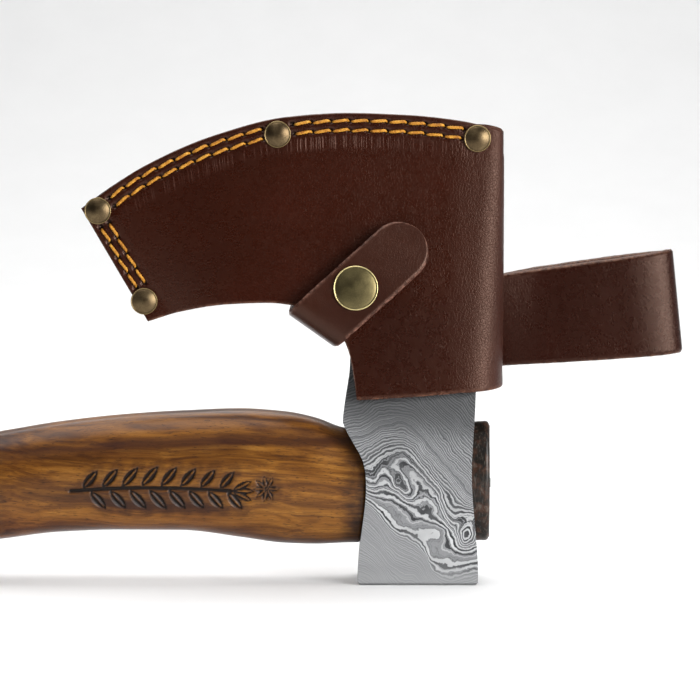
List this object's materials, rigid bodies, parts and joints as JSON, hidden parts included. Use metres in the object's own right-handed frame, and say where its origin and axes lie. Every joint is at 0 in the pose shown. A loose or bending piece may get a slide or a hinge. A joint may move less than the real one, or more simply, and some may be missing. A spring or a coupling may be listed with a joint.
{
  "type": "bearded hand axe",
  "caption": "Short bearded axe: patterned steel head, wedged wooden haft, stitched and riveted leather sheath with snap strap and belt loop.",
  "frame": {"origin": "centre of the flat poll face that the axe stands on", "axes": "+Z from the poll towards the cutting edge, +X along the haft from its butt towards the eye end, Y through the thickness"},
  "size_m": [0.4907, 0.0462, 0.1586],
  "materials": {
    "pattern_steel": "etched pattern-welded steel, satin",
    "haft_wood": "oiled figured hardwood, satin",
    "wedge_wood": "plain hardwood, darkened",
    "wedge_steel": "dark forged steel",
    "sheath_leather": "finished dark red-brown leather, soft sheen",
    "strap_leather": "dark red-brown leather, worn edges",
    "antique_brass": "antiqued brass, brushed highlights",
    "waxed_thread": "twisted waxed golden thread"
  },
  "bodies": {
    "axe": {"axe_head": "pattern_steel", "handle": "haft_wood", "eye_wedge": "wedge_wood", "cross_wedge": "wedge_steel"},
    "sheath": {"sheath_shell": "sheath_leather", "sheath_welt": "sheath_leather", "seam_rivet_caps": "antique_brass", "seam_rivet_posts": "antique_brass", "needle_thread": "waxed_thread", "bobbin_thread": "waxed_thread", "strap_tail": "strap_leather", "strap_bend": "strap_leather", "strap_rivet_cap": "antique_brass", "strap_rivet_post": "antique_brass", "snap_stud": "antique_brass", "snap_post": "antique_brass", "belt_loop_root": "sheath_leather", "loop_rivet_caps": "antique_brass", "loop_rivet_posts": "antique_brass"},
    "snap_strap": {"strap_flap": "strap_leather", "snap_cap": "antique_brass", "snap_socket": "antique_brass"},
    "loop": {"belt_loop": "sheath_leather"}
  },
  "joints": [
    {"name": "sheath_slide", "type": "slide", "parent": "axe", "child": "sheath", "axis": [0, 0, 1], "range_m": [0, 0.11], "deforming": ["strap_bend"]},
    {"name": "strap_open", "type": "hinge", "parent": "sheath", "child": "snap_strap", "pos_m": [-0.02981, -0.01784, 0.09231], "axis": [0.8161, 0, -0.5779], "range_deg": [0, 150]},
    {"name": "loop_swing", "type": "hinge", "parent": "sheath", "child": "loop", "pos_m": [0.01399, 0.0178, 0.08675], "axis": [-0.1037, -0.1249, 0.9867], "range_deg": [0, 45]}
  ]
}
